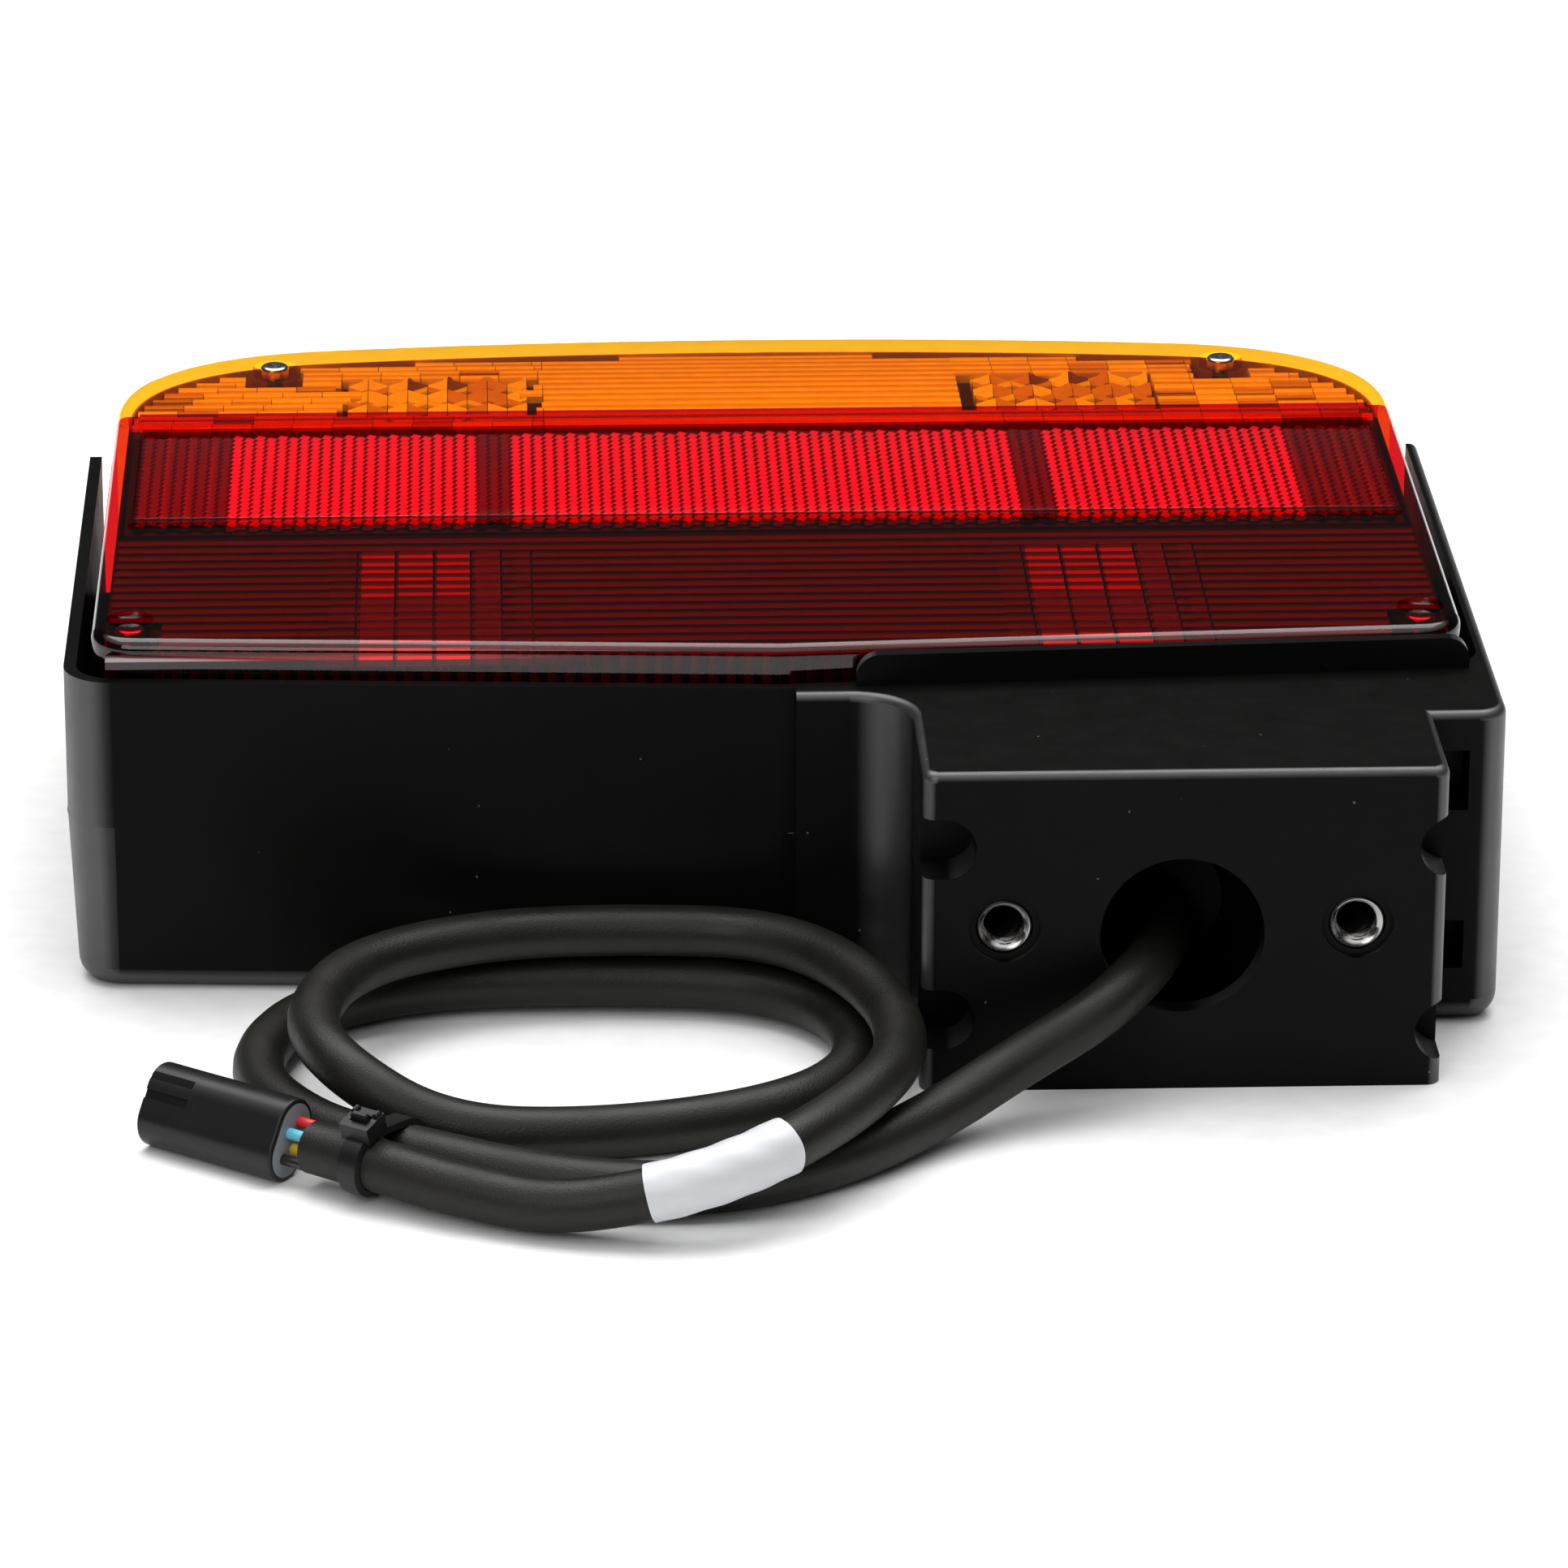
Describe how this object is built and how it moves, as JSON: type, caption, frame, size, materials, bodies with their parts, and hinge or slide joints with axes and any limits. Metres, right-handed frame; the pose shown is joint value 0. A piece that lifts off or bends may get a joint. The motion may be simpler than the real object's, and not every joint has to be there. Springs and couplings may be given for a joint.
{
  "type": "trailer tail light",
  "caption": "Trailer tail light: black housing with a bolt-on foot, a screwed-on red and amber lens with a reflex band, bayonet bulbs and a coiled cable with a connector.",
  "frame": {"origin": "middle of the lamp's footprint, cable left out, on the surface its flat back rests on", "axes": "+Z from the back towards the lens, -Y towards the bolt-on foot, +X towards the foot's side of the lamp"},
  "size_m": [0.2488, 0.294, 0.065],
  "materials": {
    "black_abs": "fine matt moulded texture with a soft sheen",
    "gasket_rubber": "matt foam rubber",
    "insert_steel": "bright plated, turned",
    "vent_grey": "matt",
    "panel_white": "glossy white, moulded",
    "screw_steel": "bright zinc plated",
    "socket_steel": "pressed, tinned",
    "contact_brass": "pressed",
    "base_brass": "nickel plated brass cap",
    "bulb_glass_clear": "clear",
    "gland_rubber": "matt moulded rubber",
    "cable_pvc": "dark grey sheath with a soft sheen",
    "label_film": "satin silver-white film, blank",
    "tie_nylon": "satin black nylon",
    "wire_red_pvc": "glossy insulation",
    "wire_blue_pvc": "glossy insulation",
    "wire_black_pvc": "glossy insulation",
    "wire_yellow_pvc": "glossy insulation",
    "seal_silicone": "matt grey silicone",
    "connector_pbt": "satin black",
    "lens_red_pmma": "clear deep red, polished outside, fluted inside",
    "lens_amber_pmma": "clear amber, polished outside, fluted inside",
    "reflex_red_pmma": "clear red with hexagonal corner prisms behind",
    "backing_abs": "matt dark"
  },
  "bodies": {
    "housing": {"housing": "black_abs", "lens_gasket": "gasket_rubber", "threaded_inserts": "insert_steel", "vent_plug": "vent_grey", "reflector_panel": "panel_white", "panel_screws": "screw_steel", "chamber_divider": "panel_white", "bulb_sockets": "socket_steel", "contact_springs": "contact_brass", "earth_strips": "contact_brass", "cable_gland": "gland_rubber", "cable_tail": "cable_pvc", "cable": "cable_pvc", "cable_label": "label_film", "cable_tie": "tie_nylon", "wire_red": "wire_red_pvc", "wire_blue": "wire_blue_pvc", "wire_black": "wire_black_pvc", "wire_yellow": "wire_yellow_pvc", "connector_seal": "seal_silicone", "connector_body": "connector_pbt", "connector_pins": "contact_brass"},
    "lens": {"lens_red": "lens_red_pmma", "lens_amber": "lens_amber_pmma", "reflex_reflector": "reflex_red_pmma", "reflex_backing": "backing_abs", "lens_screws": "screw_steel"},
    "bulb_1": {"bulb_base_1": "base_brass", "bulb_glass_1": "bulb_glass_clear"},
    "bulb_2": {"bulb_base_2": "base_brass", "bulb_glass_2": "bulb_glass_clear"},
    "bulb_3": {"bulb_base_3": "base_brass", "bulb_glass_3": "bulb_glass_clear"},
    "bulb_4": {"bulb_base_4": "base_brass", "bulb_glass_4": "bulb_glass_clear"}
  },
  "joints": [
    {"name": "lens_lift", "type": "slide", "parent": "housing", "child": "lens", "axis": [0, 0, 1], "range_m": [0, 0.045]},
    {"name": "bulb_1_twist", "type": "hinge", "parent": "housing", "child": "bulb_1", "pos_m": [-0.0595, -0.0323, 0.025], "axis": [0, 0, 1], "range_deg": [-20, 0]},
    {"name": "bulb_2_twist", "type": "hinge", "parent": "housing", "child": "bulb_2", "pos_m": [0.0595, -0.0323, 0.025], "axis": [0, 0, 1], "range_deg": [-20, 0]},
    {"name": "bulb_3_twist", "type": "hinge", "parent": "housing", "child": "bulb_3", "pos_m": [-0.0595, 0.0772, 0.025], "axis": [0, 0, 1], "range_deg": [-20, 0]},
    {"name": "bulb_4_twist", "type": "hinge", "parent": "housing", "child": "bulb_4", "pos_m": [0.0595, 0.0772, 0.025], "axis": [0, 0, 1], "range_deg": [-20, 0]}
  ]
}
